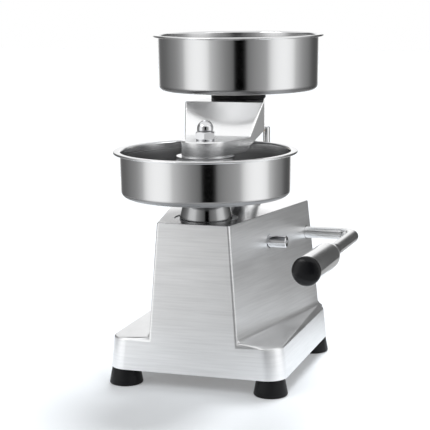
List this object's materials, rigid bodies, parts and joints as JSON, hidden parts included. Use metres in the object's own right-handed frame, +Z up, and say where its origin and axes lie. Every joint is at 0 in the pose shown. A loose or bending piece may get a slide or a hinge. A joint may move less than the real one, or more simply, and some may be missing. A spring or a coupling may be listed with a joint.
{
  "type": "burger patty press",
  "caption": "Tabletop hand press for meat patties: cast body on rubber feet, bowl round the mould, press arm with a second bowl on its pivot, side lever that lifts the piston",
  "frame": {"origin": "centre of the bounding box's bottom face, on the surface that the feet stand on", "axes": "+Z up, -Y is the operator's side with the mould and the grip, +X the operator's right with the handle"},
  "size_m": [0.3297, 0.425, 0.4887],
  "materials": {
    "cast_body": "satin, finely blasted casting",
    "polished_aluminium": "polished",
    "stainless_sheet": "circular brushed, semi-bright",
    "bright_plating": "bright",
    "machined_steel": "turned, lightly oiled",
    "bronze": "machined",
    "black_rubber": "semi-gloss",
    "black_plastic": "smooth"
  },
  "bodies": {
    "base": {"base_casting": "cast_body", "foot_front_left": "black_rubber", "foot_front_right": "black_rubber", "foot_rear_left": "black_rubber", "foot_rear_right": "black_rubber", "foot_screws": "machined_steel", "foot_washers": "machined_steel", "mould_base": "polished_aluminium", "mould_base_nut": "machined_steel", "rod_bush": "bronze", "lower_bowl": "stainless_sheet", "mould_cup": "polished_aluminium", "mould_screws": "machined_steel", "pivot_pillar": "cast_body", "pillar_screws": "machined_steel", "stop_pin": "bright_plating", "thrust_washer": "bronze", "fulcrum_shaft": "bright_plating", "fulcrum_rings": "machined_steel", "bar_bush_left": "bronze", "bar_bush_right": "bronze", "return_spring": "machined_steel", "spring_rod": "machined_steel"},
    "pivot": {"pivot_shaft": "machined_steel", "shaft_ring": "machined_steel", "pivot_washer": "machined_steel", "pivot_nut": "machined_steel"},
    "arm": {"press_arm": "polished_aluminium", "arm_bush": "bronze", "press_disc": "polished_aluminium", "press_stud": "machined_steel", "nut_washer": "bright_plating", "acorn_nut": "bright_plating", "support_ring": "black_rubber"},
    "handle": {"handle_bar": "bright_plating", "bar_collar": "machined_steel", "handle_crank": "machined_steel", "crank_pin": "machined_steel", "crank_screw": "machined_steel", "handle_grip": "polished_aluminium", "grip_ferrule": "bright_plating", "grip_cap": "black_plastic"},
    "rocker": {"rocker_lever": "machined_steel", "rocker_bush": "bronze", "nose_pin": "machined_steel", "spring_pin": "machined_steel"},
    "piston": {"piston_disc": "polished_aluminium", "piston_rod": "machined_steel", "piston_screw": "bright_plating", "rod_foot": "machined_steel"},
    "bowl": {"upper_bowl": "stainless_sheet", "bowl_collar": "stainless_sheet"}
  },
  "joints": [
    {"name": "arm_raise", "type": "slide", "parent": "base", "child": "pivot", "axis": [0, 0, 1], "range_m": [0, 0.036]},
    {"name": "arm_swing", "type": "hinge", "parent": "pivot", "child": "arm", "pos_m": [-0.0341, 0.08447, 0.346], "axis": [0, 0, 1], "range_deg": [-12, 12]},
    {"name": "handle_push", "type": "hinge", "parent": "base", "child": "handle", "pos_m": [-0.0341, 0.09447, 0.1908], "axis": [1, 0, 0], "range_deg": [0, 30], "stiffness_Nm_per_rad": 4, "springref_deg": -51.57},
    {"name": "rocker_turn", "type": "hinge", "parent": "base", "child": "rocker", "pos_m": [-0.0341, -0.02453, 0.198], "axis": [1, 0, 0], "range_deg": [-30, 0], "deforming": ["return_spring"]},
    {"name": "piston_lift", "type": "slide", "parent": "base", "child": "piston", "axis": [0, 0, 1], "range_m": [0, 0.02733]},
    {"name": "upper_bowl_lift", "type": "slide", "parent": "arm", "child": "bowl", "axis": [0, 0, 1], "range_m": [0, 0.06]}
  ],
  "couplings": [
    {"joint": "rocker_turn", "follows": "handle_push", "ratio": -1},
    {"joint": "piston_lift", "follows": "handle_push", "m_per_rad": 0.05219}
  ]
}
